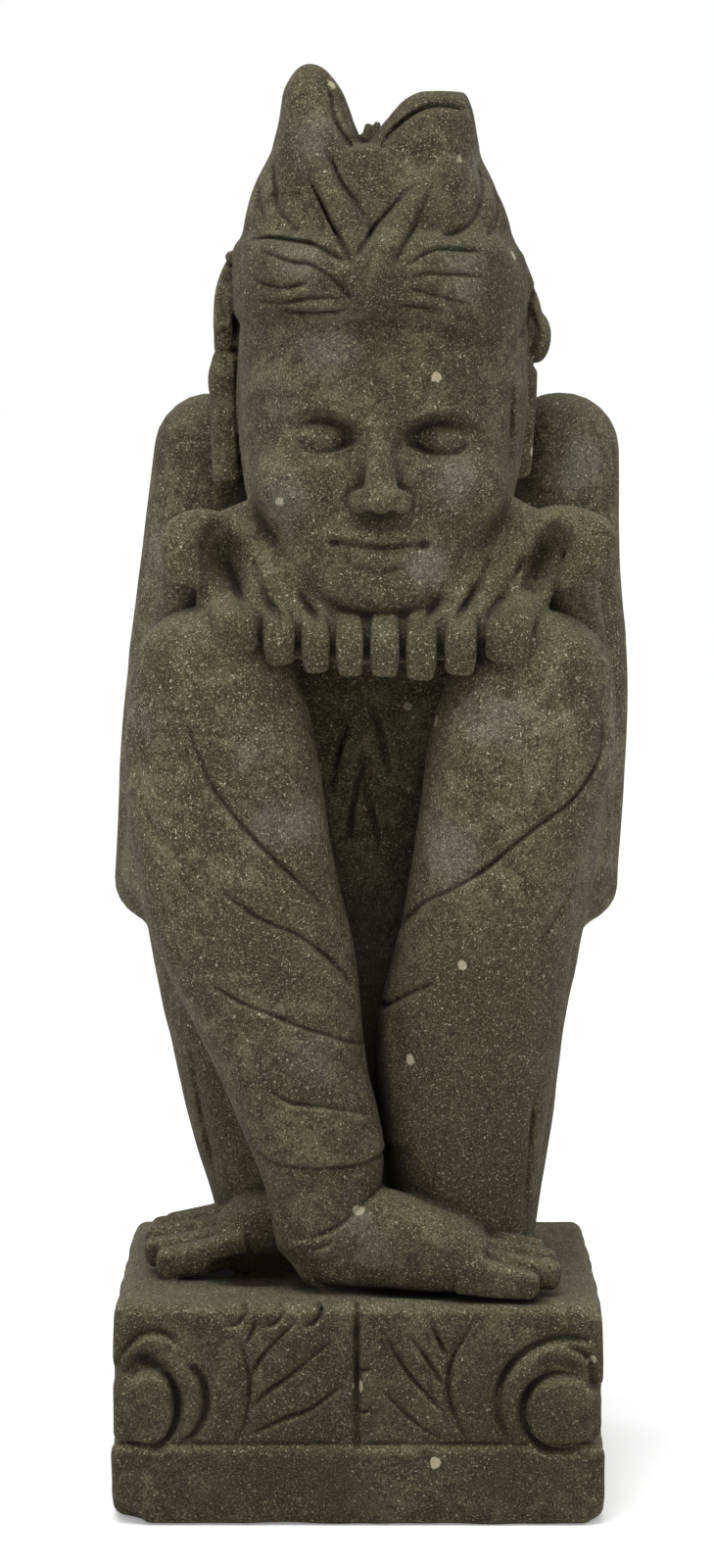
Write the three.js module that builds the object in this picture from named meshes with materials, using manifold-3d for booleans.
// A squatting stone figure with its chin on its hands, on a low carved plinth, cut from one block.
// Millimetres. x runs to the viewer's right, y away from the viewer and z up from the underside.
import * as THREE from 'three';
import { LoftGeometry } from 'three/addons/geometries/LoftGeometry.js';
import { mergeVertices } from 'three/addons/utils/BufferGeometryUtils.js';
import Module from 'manifold-3d';

const wasm = await Module();
wasm.setup();

// Driving dimensions
const PLINTH_WIDTH = 306;
const PLINTH_DEPTH = 296;
const PLINTH_TOP = 140;
const SLAB_HEIGHT = 51;
const SLAB_PROUD = 2;
const FRONT = -PLINTH_DEPTH / 2;
const HEAD_X = 12;
const CHIN_Z = 570;
const FACE_THIRD = 62;
const FACE_Y = -121;
const HEAD_ROLL = THREE.MathUtils.degToRad(1.2);
const FINGER_Y = -130;
const FOLD = { width: 3.4, depth: 4.5, step: 28 };
const FINE_LINE = { width: 2.2, depth: 2.6, step: 26 };
const DEEP_LINE = { width: 4, depth: 6, step: 20 };
const GROOVE_LIP = 3;
const OUTSIDE = 600;
const SOLE_SINK = 2;

// Solids

// A three.js geometry as a solid, with its shared corners merged.
function solid(geometry) {
  geometry.deleteAttribute('normal');
  geometry.deleteAttribute('uv');
  const merged = mergeVertices(new THREE.BufferGeometry().copy(geometry), 1e-4);
  return new wasm.Manifold(new wasm.Mesh({
    numProp: 3,
    vertProperties: new Float32Array(merged.attributes.position.array),
    triVerts: new Uint32Array(merged.index.array),
  }));
}

function toGeometry(body) {
  const { vertProperties, triVerts, numProp } = body.getMesh();
  const geometry = new THREE.BufferGeometry();
  const corners = new Float32Array(vertProperties.length / numProp * 3);
  for (let i = 0; i < corners.length / 3; i++) {
    for (let k = 0; k < 3; k++) corners[3 * i + k] = vertProperties[numProp * i + k];
  }
  geometry.setAttribute('position', new THREE.BufferAttribute(corners, 3));
  geometry.setIndex([...triVerts]);
  return geometry;
}

const join = (bodies) => bodies.reduce((whole, body) => whole.add(body));

// The largest of a solid's separate bodies: chips that the grooves cut loose fall away.
const withoutChips = (body) => body.decompose().reduce((a, b) => (a.volume() > b.volume() ? a : b));

const smoothCurve = (points) => new THREE.CatmullRomCurve3(
  points.map((p) => new THREE.Vector3(...p)), false, 'catmullrom', 0.5);

// One oval section: square 1 is an ellipse and smaller values square it off.
function section({ centre, across, along, halfWidth, halfDepth, sides, square }) {
  const power = (value) => Math.sign(value) * Math.abs(value) ** square;
  return Array.from({ length: sides }, (_, i) => {
    const angle = 2 * Math.PI * (i + 0.5) / sides;
    return centre.clone()
      .addScaledVector(across, halfWidth * power(Math.cos(angle)))
      .addScaledVector(along, halfDepth * power(Math.sin(angle)));
  });
}

// A limb: oval sections carried along a smooth path through its stations, with rounded ends.
// Each station is [x, y, z, half width, half depth]; side is the direction of the width.
function limb(stations, options = {}) {
  const { steps = 8, sides = 12, square = 1, side = [1, 0, 0], level = false } = options;
  const { startCap = 1, endCap = 1, capRings = 2 } = options;
  const path = smoothCurve(stations.map((s) => s.slice(0, 3)));
  const girth = smoothCurve(stations.map((s) => [s[3], s[4], 0]));
  const reference = new THREE.Vector3(...side);
  const rings = [];
  const ring = (t, push, shrink) => {
    const tangent = level ? new THREE.Vector3(0, 0, Math.sign(path.getTangent(t).z)) : path.getTangent(t);
    const across = reference.clone().addScaledVector(tangent, -reference.dot(tangent)).normalize();
    const along = tangent.clone().cross(across);
    const size = girth.getPoint(t);
    const centre = path.getPoint(t).addScaledVector(tangent, push * Math.min(size.x, size.y));
    const [halfWidth, halfDepth] = [size.x * shrink, size.y * shrink];
    rings.push(section({ centre, across, along, halfWidth, halfDepth, sides, square }));
  };
  // The last ring of a cap stops short of the pole, so that its flat end is not a sliver.
  const shortOfPole = 0.35;
  const quarter = (i) => Math.PI / 2 * i / (capRings + shortOfPole);
  const capped = (reach) => Array.from({ length: reach > 0 ? capRings : 0 }, (_, i) => i + 1);
  const cap = (t, reach, i) => ring(t, reach * Math.sin(quarter(i)), Math.cos(quarter(i)));
  for (const i of capped(startCap).reverse()) cap(0, -startCap, i);
  for (let i = 0; i <= steps; i++) ring(i / steps, 0, 1);
  for (const i of capped(endCap)) cap(1, endCap, i);
  return solid(new LoftGeometry(rings, { capStart: true, capEnd: true }));
}

// A stack of level sections from rows of [z, left x, right x, front y, back y].
function stack(rows, options = {}) {
  const stations = rows.map(([z, left, right, front, back]) =>
    [(left + right) / 2, (front + back) / 2, z, (right - left) / 2, (back - front) / 2]);
  const flatEnds = { startCap: 0, endCap: 0, capRings: 0 };
  return limb(stations, { steps: rows.length - 1, level: true, ...flatEnds, ...options });
}

// Directions that a line can be carved from, each with the axes that its two numbers run along.
const VIEW = {
  front: { look: [0, 1, 0], place: (a, b) => [a, -OUTSIDE, b] },
  back: { look: [0, -1, 0], place: (a, b) => [a, OUTSIDE, b] },
  left: { look: [1, 0, 0], place: (a, b) => [-OUTSIDE, a, b] },
  right: { look: [-1, 0, 0], place: (a, b) => [OUTSIDE, a, b] },
};

// The point and outward normal that a ray from the chosen side meets first.
function touch(mesh, view, a, b) {
  const start = new THREE.Vector3(...view.place(a, b));
  const hit = new THREE.Raycaster(start, new THREE.Vector3(...view.look)).intersectObject(mesh)[0];
  if (!hit) throw new Error(`line leaves the stone at ${a}, ${b}`);
  return { point: hit.point, normal: hit.face.normal.clone() };
}

// How full a groove is along its length: shallow at both ends and whole in the middle.
const fullness = (share) => 0.35 + 0.65 * Math.sin(Math.PI * share) ** 0.6;

// A V-shaped groove that follows the surface and runs out at both ends.
function groove(mesh, line, { width, depth, step }, view) {
  const flat = smoothCurve(line.map(([a, b]) => [a, b, 0]));
  const count = Math.max(2, Math.round(flat.getLength() / step));
  const spots = flat.getSpacedPoints(count).map((p) => touch(mesh, view, p.x, p.y));
  const rings = spots.map(({ point, normal }, i) => {
    const ahead = spots[Math.min(i + 1, count)].point.clone().sub(spots[Math.max(i - 1, 0)].point);
    const across = ahead.cross(normal).normalize();
    const fade = fullness(i / count);
    const lip = point.clone().addScaledVector(normal, GROOVE_LIP);
    const spread = fade * width * (1 + GROOVE_LIP / depth);
    return [
      lip.clone().addScaledVector(across, -spread),
      lip.clone().addScaledVector(across, spread),
      point.clone().addScaledVector(normal, -depth * fade),
    ];
  });
  return solid(new LoftGeometry(rings, { capStart: true, capEnd: true }));
}

function carve(body, lines, cut, from = 'front') {
  const mesh = new THREE.Mesh(toGeometry(body), new THREE.MeshBasicMaterial({ side: THREE.DoubleSide }));
  return lines.reduce((rest, line) => rest.subtract(groove(mesh, line, cut, VIEW[from])), body);
}

// Plinth

function roundedBlock(width, depth, bottom, top, corner, bevel) {
  const [w, d] = [width / 2 - bevel, depth / 2 - bevel];
  const outline = new THREE.Shape();
  outline.moveTo(-w + corner, -d);
  outline.lineTo(w - corner, -d);
  outline.absarc(w - corner, -d + corner, corner, -Math.PI / 2, 0);
  outline.lineTo(w, d - corner);
  outline.absarc(w - corner, d - corner, corner, 0, Math.PI / 2);
  outline.lineTo(-w + corner, d);
  outline.absarc(-w + corner, d - corner, corner, Math.PI / 2, Math.PI);
  outline.lineTo(-w, -d + corner);
  outline.absarc(-w + corner, -d + corner, corner, Math.PI, 1.5 * Math.PI);
  const block = new THREE.ExtrudeGeometry(outline, {
    depth: top - bottom - 2 * bevel,
    bevelSize: bevel,
    bevelThickness: bevel,
    bevelSegments: 1,
    curveSegments: 2,
  });
  return solid(block.translate(0, 0, bottom + bevel));
}

// Points along part of an oval about x, z.
function arc(x, z, radiusX, radiusZ, fromDegrees, toDegrees, spots = 5) {
  return Array.from({ length: spots }, (_, i) => {
    const angle = THREE.MathUtils.degToRad(fromDegrees + (toDegrees - fromDegrees) * i / (spots - 1));
    return [x + radiusX * Math.cos(angle), z + radiusZ * Math.sin(angle)];
  });
}

// A low round boss on the front face.
function boss(x, z, radius, proud) {
  const sunk = 8;
  return limb([
    [x, FRONT + sunk, z, radius, radius],
    [x, FRONT - proud, z, 0.8 * radius, 0.8 * radius],
  ], { steps: 1, sides: 10, startCap: 0, endCap: 0.12, capRings: 1 });
}

function plinth() {
  const slabSize = [PLINTH_WIDTH + 2 * SLAB_PROUD, PLINTH_DEPTH + 2 * SLAB_PROUD];
  const overlap = 3;
  const slab = roundedBlock(...slabSize, 0, SLAB_HEIGHT, 9, 5);
  const block = roundedBlock(PLINTH_WIDTH, PLINTH_DEPTH, SLAB_HEIGHT - overlap, PLINTH_TOP, 10, 6);
  const middle = (SLAB_HEIGHT + PLINTH_TOP) / 2;
  const scrolls = [
    arc(-131, 75, 17, 23, 75, -80),
    arc(-128, 82, 21, 36, 178, 40),
    arc(-128, 79, 33, 30, 50, -65),
    arc(127, 72, 25, 22, 60, 290),
    arc(132, 77, 45, 41, 75, 212),
  ];
  const leaves = [
    [[-74, 119], [-68, 98], [-68, 76], [-77, 53]],
    [[-68, 90], [-61, 106], [-40, 129]],
    [[-69, 70], [-48, 92], [-16, 118]],
    [[-73, 55], [-46, 68], [-11, 88]],
    [[16, 122], [30, 98], [51, 74]],
    [[31, 122], [45, 102], [53, 88]],
    [[15, 86], [35, 66], [51, 55]],
    [[73, 130], [59, 106], [57, 78], [68, 53]],
  ];
  const seam = [[[-1, PLINTH_TOP - 7], [-1, middle], [-1, SLAB_HEIGHT + 3]]];
  let whole = carve(slab.add(block), [...scrolls, ...seam], DEEP_LINE);
  whole = carve(whole, leaves, FOLD);
  whole = join([whole, boss(-131, 75, 12, 0.5), boss(127, 72, 17, 0.5)]);
  const sideLeaves = [-1, 1].flatMap((s) => [
    [[s * 20, 120], [s * 32, 90], [s * 66, 60]],
    [[s * 66, 122], [s * 76, 98], [s * 106, 72]],
  ]);
  for (const from of ['left', 'right']) whole = carve(whole, sideLeaves, FOLD, from);
  return whole;
}

// Trunk

function trunk() {
  const haunches = stack([
    [132, -86, 112, -42, 118],
    [173, -95, 119, -44, 130],
    [217, -108, 126, -46, 136],
    [280, -123, 134, -48, 139],
    [352, -134, 142, -44, 132],
    [392, -130, 146, -36, 126],
    [430, -112, 128, -22, 120],
    [470, -92, 112, -8, 110],
  ], { sides: 14, square: 0.62 });
  const back = limb([
    [8, 50, 370, 118, 76],
    [12, 52, 460, 110, 72],
    [16, 60, 560, 118, 72],
    [18, 66, 640, 122, 58],
    [18, 60, 686, 96, 42],
  ], { steps: 5, sides: 12, square: 0.78, startCap: 0.3, endCap: 0.6, capRings: 1 });
  const neck = limb([[16, 40, 640, 56, 52], [14, 10, 700, 60, 56]], { steps: 1, sides: 10, capRings: 1 });
  return join([haunches, back, neck]);
}

// Legs

// The shin of the leg on the viewer's left, which crosses in front.
const FRONT_SHIN = [
  [-92, -90, 538, 49, 44],
  [-88, -89, 487, 60, 52],
  [-76, -87, 400, 62, 53],
  [-57, -87, 340, 57, 51],
  [-38, -89, 272, 45, 45],
  [-23, -92, 222, 40, 38],
  [-22, -96, 170, 30, 31],
];

// The shin of the leg on the viewer's right, which stands behind.
const REAR_SHIN = [
  [112, -86, 536, 48, 44],
  [103, -85, 487, 58, 53],
  [90, -78, 420, 54, 54],
  [81, -70, 360, 55, 53],
  [69, -60, 290, 58, 52],
  [67, -48, 210, 50, 52],
  [67, -42, 140, 46, 52],
];

const FRONT_THIGH = [
  [-46, 66, 215, 40, 44],
  [-80, 24, 330, 50, 50],
  [-94, -38, 450, 50, 46],
  [-92, -70, 524, 44, 34],
];
const REAR_THIGH = [
  [56, 66, 215, 40, 44],
  [90, 24, 330, 50, 50],
  [108, -36, 450, 50, 46],
  [112, -68, 524, 44, 34],
];

function legs() {
  const shinOptions = { steps: 7, sides: 12, square: 0.9, startCap: 0.8, endCap: 0.5 };
  const thighOptions = { steps: 4, sides: 9, startCap: 0.2, endCap: 0.7, capRings: 1 };
  const shin = (stations) => limb(stations, shinOptions);
  const thigh = (stations) => limb(stations, thighOptions);
  return join([shin(FRONT_SHIN), shin(REAR_SHIN), thigh(FRONT_THIGH), thigh(REAR_THIGH)]);
}

// The feet lie along x. A foot has its stations from the heel, the x where its toes part from it,
// and for each toe the x of its tip, its y and its radius.
const FRONT_FOOT = {
  stations: [
    [-24, -98, 172, 22, 32],
    [8, -100, 173, 27, 34],
    [38, -103, 168, 31, 29],
    [84, -101, 157, 36, 18],
  ],
  root: 80,
  toes: [[119, -128, 10.5], [133, -110, 9], [132, -95, 8.5], [128, -81, 8.5], [121, -67, 8.5]],
};
const REAR_FOOT = {
  stations: [
    [48, -42, 172, 24, 32],
    [8, -42, 174, 27, 34],
    [-36, -38, 168, 29, 29],
    [-96, -29, 158, 34, 18],
  ],
  root: -92,
  toes: [[-137, -56, 10.5], [-144, -39, 9], [-143, -24, 8.5], [-139, -10, 8.5], [-132, 4, 8.5]],
};

function foot({ stations, root, toes }) {
  const side = [0, 1, 0];
  const sunk = stations.map(([x, y, z, ...girth]) => [x, y, z - SOLE_SINK, ...girth]);
  const spread = toes.map(([tip, y, radius]) => limb([
    [root, y, PLINTH_TOP + 1.8 * radius, radius, radius],
    [tip - Math.sign(tip) * radius, y, PLINTH_TOP + 0.8 * radius, radius, radius],
  ], { steps: 1, sides: 5, side, square: 0.8, startCap: 0, endCap: 0.7, capRings: 1 }));
  const body = limb(sunk, { steps: 4, sides: 10, side, square: 0.8, endCap: 0.5, capRings: 1 });
  return join([body, ...spread]);
}

// Arms and hands

const UPPER_ARMS = [
  [[-96, 64, 668, 38, 44], [-104, 60, 600, 38, 46], [-116, 50, 500, 38, 44], [-124, 30, 386, 36, 36]],
  [[132, 62, 668, 39, 44], [134, 60, 600, 38, 46], [138, 50, 500, 39, 44], [132, 30, 384, 38, 36]],
];
const FOREARMS = [
  [[-120, 8, 392, 32, 28], [-114, -20, 500, 30, 28], [-98, -52, 592, 26, 27]],
  [[130, 8, 392, 34, 28], [134, -20, 500, 32, 28], [124, -52, 592, 26, 27]],
];

function arms() {
  const upperOptions = { steps: 5, sides: 10, square: 0.95, startCap: 0.95, endCap: 0.8 };
  const foreOptions = { steps: 3, sides: 8, startCap: 0.7, endCap: 0.6, capRings: 1 };
  return join([
    ...UPPER_ARMS.map((stations) => limb(stations, upperOptions)),
    ...FOREARMS.map((stations) => limb(stations, foreOptions)),
  ]);
}

// Eight fingers hang in a row below the chin, four from each hand.
// Each is [middle x, half width, lowest z, highest z].
const FINGERS = [
  [-75, 13.2, 543, 574], [-49, 10.4, 536, 571], [-26.5, 9.8, 531, 568], [-5, 9.5, 529, 567],
  [16.5, 10.1, 529, 567], [39, 10.4, 527, 567], [64, 11, 530, 570], [93, 14.4, 536, 574],
];
// The backs of the hands, each from its knuckles up and back to the wrist.
const HAND_BACKS = [
  [[-42, -108, 556, 47, 15], [-50, -96, 574, 47, 15], [-64, -80, 596, 44, 18], [-82, -58, 616, 36, 22]],
  [[58, -108, 556, 50, 15], [66, -96, 574, 50, 15], [82, -80, 598, 46, 18], [104, -58, 620, 38, 22]],
];
const THUMBS = [
  [[-64, -78, 600, 12, 13], [-88, -88, 616, 14, 14], [-107, -95, 612, 15, 14], [-106, -99, 592, 13, 13]],
  [[100, -76, 606, 13, 14], [126, -88, 621, 15, 14], [146, -95, 611, 16, 15], [136, -100, 592, 13, 13]],
];

function hands() {
  const backOptions = { steps: 3, sides: 9, square: 0.75, startCap: 0.5, endCap: 0.4, capRings: 1 };
  const thumbOptions = { steps: 4, sides: 6, side: [0, 1, 0], startCap: 0.3, endCap: 0.85, capRings: 1 };
  const fingerOptions = { steps: 1, sides: 6, square: 0.8, startCap: 0.7, endCap: 0.45, capRings: 1 };
  const backs = HAND_BACKS.map((stations) => limb(stations, backOptions));
  const thumbs = THUMBS.map((stations) => limb(stations, thumbOptions));
  const fingers = FINGERS.map(([x, halfWidth, bottom, top]) => limb([
    [x, FINGER_Y + 4, bottom + 8, halfWidth, 13],
    [x, FINGER_Y + 4, top - 5, halfWidth, 13],
  ], fingerOptions));
  // The knuckles run on as one bar behind the fingers.
  const bar = limb([[-66, -104, 556, 14, 17], [14, -105, 551, 15, 18], [84, -104, 556, 14, 17]],
    { steps: 3, sides: 7, side: [0, 0, 1], capRings: 1 });
  return join([...backs, bar, ...thumbs, ...fingers]);
}

// Head

const MOUTH_Z = CHIN_Z + 2 / 3 * FACE_THIRD;
const NOSE_Z = CHIN_Z + FACE_THIRD;
const BROW_Z = CHIN_Z + 2 * FACE_THIRD;
const EYE_Z = BROW_Z - 0.3 * FACE_THIRD;
const HEAD_HALF = 1.5 * FACE_THIRD;
const EYE_X = HEAD_HALF * 0.4;

// How far forward the bare face lies at a distance from its middle line.
const faceFront = (x) => FACE_Y + 1 + 0.0042 * (x - HEAD_X) ** 2;

function head() {
  const skull = stack([
    [CHIN_Z - 8, HEAD_X - 28, HEAD_X + 28, FACE_Y + 24, -20],
    [CHIN_Z + 1, HEAD_X - 42, HEAD_X + 42, FACE_Y + 5, 0],
    [CHIN_Z + 14, HEAD_X - 57, HEAD_X + 57, FACE_Y - 4, 24],
    [CHIN_Z + 34, HEAD_X - 71, HEAD_X + 71, FACE_Y - 2, 44],
    [CHIN_Z + 62, HEAD_X - 83, HEAD_X + 83, FACE_Y, 60],
    [CHIN_Z + 96, HEAD_X - HEAD_HALF + 3, HEAD_X + HEAD_HALF - 3, FACE_Y + 2, 72],
    [CHIN_Z + 130, HEAD_X - HEAD_HALF, HEAD_X + HEAD_HALF, FACE_Y, 78],
    [CHIN_Z + 165, HEAD_X - HEAD_HALF + 1, HEAD_X + HEAD_HALF - 1, FACE_Y + 5, 78],
    [CHIN_Z + 200, HEAD_X - HEAD_HALF + 5, HEAD_X + HEAD_HALF - 5, FACE_Y + 12, 76],
  ], { sides: 18, square: 0.82 });
  const nose = limb([
    [HEAD_X, FACE_Y + 6, BROW_Z - 2, 9, 8],
    [HEAD_X, FACE_Y, EYE_Z - 4, 9, 10],
    [HEAD_X, FACE_Y - 7, NOSE_Z + 18, 13, 13],
    [HEAD_X, FACE_Y - 8, NOSE_Z + 5, 18, 13],
  ], { steps: 3, sides: 8, startCap: 0.3, endCap: 0.25, capRings: 1 });
  // A bead that runs sideways along the face, thick in the middle and rising or sinking there.
  const bead = (x, z, reach, rise, proud, thick) => limb([-1, -0.5, 0, 0.5, 1].map((s) => {
    const radius = thick * (1.15 - s * s);
    return [x + reach * s, faceFront(x + reach * s) - proud, z + rise * (1 - s * s), radius, radius];
  }), { steps: 4, sides: 5, side: [0, 0, 1], capRings: 0 });
  const lips = [
    bead(HEAD_X, MOUTH_Z + 3, 27, 1, 3, 4.6),
    bead(HEAD_X, MOUTH_Z - 5, 22, -2, 3, 5.2),
  ];
  const chin = limb([[HEAD_X, FACE_Y + 6, CHIN_Z + 14, 18, 12], [HEAD_X, FACE_Y - 1, CHIN_Z + 14, 12, 8]],
    { steps: 1, sides: 8, capRings: 1, startCap: 0, endCap: 0.3 });
  const eyes = [-1, 1].flatMap((s) => {
    const x = HEAD_X + s * EYE_X;
    const ball = [[-18, 4, 4], [0, 10, 9], [18, 4, 4]].map(([dx, high, deep]) =>
      [x + dx, faceFront(x + dx) + 3, EYE_Z, high, deep]);
    return [
      limb(ball, { steps: 4, sides: 6, side: [0, 0, 1], capRings: 0 }),
      bead(x, EYE_Z + 2, 19, 8, 2, 2.6),
      bead(x, BROW_Z - 8, 27, 12, 0.5, 3),
    ];
  });
  const face = join([skull, nose, chin, ...lips, ...eyes]);
  const chinPlace = [HEAD_X, 0, CHIN_Z];
  const roll = [0, THREE.MathUtils.radToDeg(HEAD_ROLL), 0];
  return face.translate(chinPlace.map((v) => -v)).rotate(roll).translate(chinPlace);
}

// Each ear from its rim down: the rim, the ornament below it and the hanging lobe.
function ears() {
  const flap = (stations) => limb(stations, {
    steps: stations.length - 1, sides: 6, square: 0.85, startCap: 0.6, endCap: 0.6, capRings: 1,
  });
  return join([
    flap([[-80, 10, 787, 6, 12], [-83, 5, 770, 9, 18], [-84, 2, 750, 9.5, 21], [-83, 0, 734, 10, 17]]),
    flap([[-84, -2, 727, 10, 14], [-86, -4, 714, 11, 16], [-84, -4, 700, 11, 13]]),
    flap([[-82, -4, 706, 12, 13], [-84, -6, 680, 11, 11], [-84, -8, 650, 10, 11]]),
    flap([[100, 10, 787, 8, 12], [105, 5, 768, 10, 18], [107, 2, 750, 12, 22], [105, 0, 732, 12, 18]]),
    flap([[102, -8, 742, 11, 12], [102, -10, 717, 10, 12]]),
    flap([[104, -4, 718, 11, 13], [103, -6, 690, 10.5, 11], [100, -8, 656, 11, 11]]),
  ]);
}

// Headdress

function headdress() {
  const band = stack([
    [745, -76, 103, FACE_Y + 8, 78],
    [752, -80, 107, FACE_Y - 2, 84],
    [775, -80, 108, FACE_Y - 5, 86],
    [796, -78, 105, FACE_Y + 3, 84],
    [806, -72, 99, FACE_Y + 14, 76],
  ], { sides: 18, square: 0.82 });
  const crown = stack([
    [790, -74, 100, FACE_Y + 14, 76],
    [812, -73, 97, FACE_Y + 20, 70],
    [835, -67, 88, FACE_Y + 29, 56],
    [856, -56, 77, FACE_Y + 39, 34],
  ], { sides: 16, square: 0.88 });
  const leftLobe = stack([
    [830, -60, 4, FACE_Y + 36, 30],
    [862, -54, 3, FACE_Y + 38, 28],
    [880, -49, -3, FACE_Y + 45, 14],
    [897, -47, -11, FACE_Y + 54, 0],
    [908, -40, -20, FACE_Y + 64, -16],
    [912, -34, -27, FACE_Y + 72, -28],
  ], { sides: 10, square: 0.85 });
  const rightLobe = stack([
    [830, 0, 80, FACE_Y + 36, 30],
    [862, 6, 76, FACE_Y + 38, 28],
    [873, 12, 74, FACE_Y + 42, 20],
    [885, 21, 72, FACE_Y + 48, 10],
    [893, 29, 70, FACE_Y + 54, 0],
    [898, 38, 66, FACE_Y + 60, -8],
  ], { sides: 10, square: 0.75 });
  const strap = (stations) => limb(stations, { steps: 4, sides: 6, capRings: 1, endCap: 0.5 });
  const straps = [
    strap([[-26, -82, 850, 9, 6], [-18, -90, 832, 10, 7], [-8, -103, 808, 10, 7], [0, -110, 792, 9, 6]]),
    strap([[44, -82, 840, 6, 5], [31, -92, 820, 11, 8], [17, -108, 797, 13, 9], [6, -120, 768, 12, 8]]),
  ];
  const stub = limb([[8, 0, 846, 8, 10], [8, 2, 874, 5, 6]], { steps: 1, sides: 6, capRings: 0 });
  return join([band, crown, leftLobe, rightLobe, stub, ...straps]);
}

// Engraved lines of the dress, the belly and the headdress, each given as [x, z] seen from the front

const LEG_FOLDS = [
  [[-107, 508], [-92, 464], [-54, 418], [-17, 382]],
  [[-93, 404], [-58, 379], [-23, 358], [-5, 335]],
  [[-66, 325], [-35, 312], [0, 298]],
  [[-58, 272], [-31, 263], [6, 254]],
  [[-62, 230], [-38, 222], [-2, 223], [15, 229]],
  [[-42, 176], [-18, 182], [3, 196]],
  [[152, 494], [145, 468], [117, 442], [78, 410], [22, 362]],
  [[140, 405], [126, 377], [112, 362]],
  [[44, 338], [17, 316]],
];
const BELLY_FOLDS = [
  [[-9, 482], [-16, 455]],
  [[4, 490], [-4, 440], [-6, 421]],
  [[11, 498], [19, 466]],
  [[3, 452], [13, 418]],
];
const LOBE_RIMS = [
  [[-23, 902], [-15, 876], [-5, 860]],
  [[12, 862], [27, 878], [46, 888], [64, 886]],
];
const BAND_FOLDS = [
  [[-58, 793], [-38, 787], [-17, 777], [-7, 766]],
  [[-65, 777], [-46, 771], [-28, 775]],
  [[-64, 764], [-40, 763], [-10, 765]],
  [[27, 782], [44, 793], [74, 793]],
  [[32, 777], [52, 779], [78, 777]],
  [[32, 770], [51, 766], [68, 761]],
];
const LOCKS = [
  [[-53, 843], [-50, 820], [-40, 807]],
  [[75, 843], [78, 832], [70, 812], [54, 803]],
];

const WAIST_LINE = [[[-70, 352], [-20, 336], [50, 336], [96, 352]]];
const SPINE = [[[15, 640], [13, 560], [10, 470], [9, 380]]];

function statue() {
  let body = join([trunk(), legs(), foot(FRONT_FOOT), foot(REAR_FOOT), arms(), hands()]);
  body = carve(body, LEG_FOLDS, FOLD);
  body = carve(body, BELLY_FOLDS, FINE_LINE);
  body = carve(body, [...WAIST_LINE, ...SPINE], FOLD, 'back');
  let top = join([head(), ears(), headdress()]);
  top = carve(top, [...LOBE_RIMS, ...BAND_FOLDS, ...LOCKS], FINE_LINE);
  return withoutChips(join([plinth(), body, top]));
}

const stone = new THREE.MeshStandardMaterial({ color: 0x4b4637, roughness: 0.92, metalness: 0 });
const figure = new THREE.Mesh(toGeometry(statue()), stone);
figure.name = 'statue';
figure.geometry.computeVertexNormals();

const model = new THREE.Group();
model.add(figure);

export default model;
